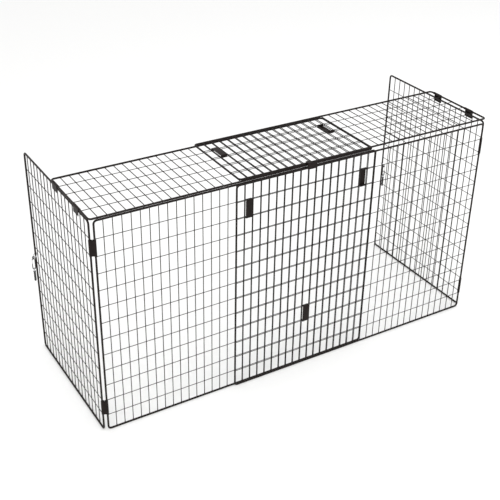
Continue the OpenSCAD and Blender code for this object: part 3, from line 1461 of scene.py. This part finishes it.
@dataclass
class Fireguard:
    """The whole guard: its panels, its clips and its wall hooks."""

    bench: Workbench

    def rod_axis(self, node: str, at_left: bool) -> Vector:
        """The upright corner rod of a front panel.

        Args:
            node: The front panel's CAD node.
            at_left: Whether the rod is at the panel's left end.

        Returns:
            The rod's axis, at the floor.
        """
        low, high = (Vector(corner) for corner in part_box(node))
        radius = (high.y - low.y) / 2
        x = low.x + radius if at_left else high.x - radius
        return Vector((x, low.y + radius, 0))

    def side_rod_axis(self, side: Side) -> Vector:
        """The upright corner rod of a side panel.

        Args:
            side: The panel's side.

        Returns:
            The rod's axis, at the floor.
        """
        low, high = (Vector(corner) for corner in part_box(f"side_{side.word}"))
        radius = (high.x - low.x) / 2
        return Vector((low.x + radius, low.y + radius, 0))

    def build_panels(self) -> None:
        """Make the six welded panels."""
        for node, along, up, rails_side in (
            ("front_left", X_AXIS, Z_AXIS, 1),
            ("front_right", X_AXIS, Z_AXIS, -1),
            ("top_left", X_AXIS, Y_AXIS, 1),
            ("top_right", X_AXIS, Y_AXIS, -1),
            ("side_left", Y_AXIS, Z_AXIS, 1),
            ("side_right", Y_AXIS, Z_AXIS, -1),
        ):
            WirePanel(node, along, up, rails_side).build(self.bench)

    def build_corner_clips(self) -> None:
        """Make the clips on which the sides fold."""
        for side in Side:
            rods = self.rod_axis(f"front_{side.word}", side is Side.LEFT), self.side_rod_axis(side)
            for level in ("upper", "lower"):
                CornerClip(f"corner_clip_{side.word}_{level}", *rods).build(self.bench)

    def build_side_hooks(self) -> None:
        """Make the hooks that hang the lid's ends over the sides."""
        for side in Side:
            low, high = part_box(f"top_{side.word}")
            rod_height = (low[2] + high[2]) / 2
            for place in ("front", "rear"):
                SideHook(f"side_hook_{side.word}_{place}", side, rod_height).build(self.bench)

    def build_joiners(self) -> None:
        """Make the clips between the lapping panels. Those of the left panels face the other way."""
        for node, across, up in (
            ("front_joiner_left", X_AXIS, Z_AXIS),
            ("front_joiner_low", X_AXIS, Z_AXIS),
            ("front_joiner_right", -X_AXIS, Z_AXIS),
            ("top_joiner_left", X_AXIS, Y_AXIS),
            ("top_joiner_right", -X_AXIS, Y_AXIS),
        ):
            Joiner(node, across, up).build(self.bench)
        LidKeeper("top_keeper").build(self.bench)

    def build(self) -> None:
        """Make every piece of the guard."""
        self.build_panels()
        self.build_corner_clips()
        self.build_side_hooks()
        self.build_joiners()
        for side in Side:
            WallHook(side).build(self.bench)


# ---------------------------------------------------------------- studio


@dataclass
class StudioCamera:
    """A camera that looks down on the guard's left front corner."""

    eye: Vector = Vector((-1.38748, -2.2044, 1.81232))
    azimuth: float = math.radians(-31.407)
    elevation: float = math.radians(30.482)
    roll: float = math.radians(1.073)
    lens: float = 69.82

    def build(self) -> bpy.types.Object:
        """Place the camera and make it the scene's.

        Returns:
            The camera.
        """
        forward = Vector(
            (
                -math.sin(self.azimuth) * math.cos(self.elevation),
                math.cos(self.azimuth) * math.cos(self.elevation),
                -math.sin(self.elevation),
            )
        )
        level = Vector((math.cos(self.azimuth), math.sin(self.azimuth), 0))
        upright = level.cross(forward)
        right = math.cos(self.roll) * level + math.sin(self.roll) * upright
        up = right.cross(forward)
        data = bpy.data.cameras.new("camera")
        data.lens = self.lens
        data.sensor_width = 36
        camera = bpy.data.objects.new("camera", data)
        camera.matrix_world = place_matrix(self.eye, right, up)
        bpy.context.scene.collection.objects.link(camera)
        bpy.context.scene.camera = camera
        return camera


@dataclass
class Studio:
    """A pale floor, a bright even sky and large soft lights."""

    floor_size: float = 24
    sky: float = 1.0
    key_power: float = 60
    fill_power: float = 25

    def build_floor(self) -> None:
        """Lay the floor under the guard."""
        mesh = bmesh.new()
        bmesh.ops.create_grid(mesh, x_segments=1, y_segments=1, size=self.floor_size / 2)
        bmesh.ops.translate(mesh, verts=mesh.verts, vec=(0, 0, cad_box[0][2]))
        data = bpy.data.meshes.new("floor")
        mesh.to_mesh(data)
        mesh.free()
        data.materials.append(StudioPaper("studio_paper").material())
        floor = bpy.data.objects.new("floor", data)
        bpy.context.scene.collection.objects.link(floor)

    def build_light(self, name: str, place: Vector, power: float, size: float) -> None:
        """Hang a soft square light, aimed at the guard.

        Args:
            name: The light's name.
            place: Where it hangs.
            power: Its power, in watts.
            size: The length of its sides.
        """
        data = bpy.data.lights.new(name, "AREA")
        data.energy = power
        data.size = size
        light = bpy.data.objects.new(name, data)
        light.location = place
        light.rotation_mode = "QUATERNION"
        light.rotation_quaternion = (-place).to_track_quat("-Z", "Y")
        bpy.context.scene.collection.objects.link(light)

    def build(self) -> None:
        """Make the studio."""
        self.build_floor()
        self.build_light("key", Vector((-1.6, -2.4, 3.4)), self.key_power, 2.4)
        self.build_light("fill", Vector((2.8, -0.6, 2.6)), self.fill_power, 2.4)
        world = bpy.data.worlds.new("sky")
        world.use_nodes = True
        background = world.node_tree.nodes["Background"]
        background.inputs["Color"].default_value = (1, 1, 1, 1)
        background.inputs["Strength"].default_value = self.sky
        scene = bpy.context.scene
        scene.world = world
        scene.view_settings.view_transform = "Standard"


def main() -> None:
    """Build the guard and its studio."""
    logging.basicConfig(level=logging.INFO, format="%(message)s")
    StudioCamera().build()
    Studio().build()
    Fireguard(Workbench(FinishShelf())).build()


if __name__ == "__main__":
    main()
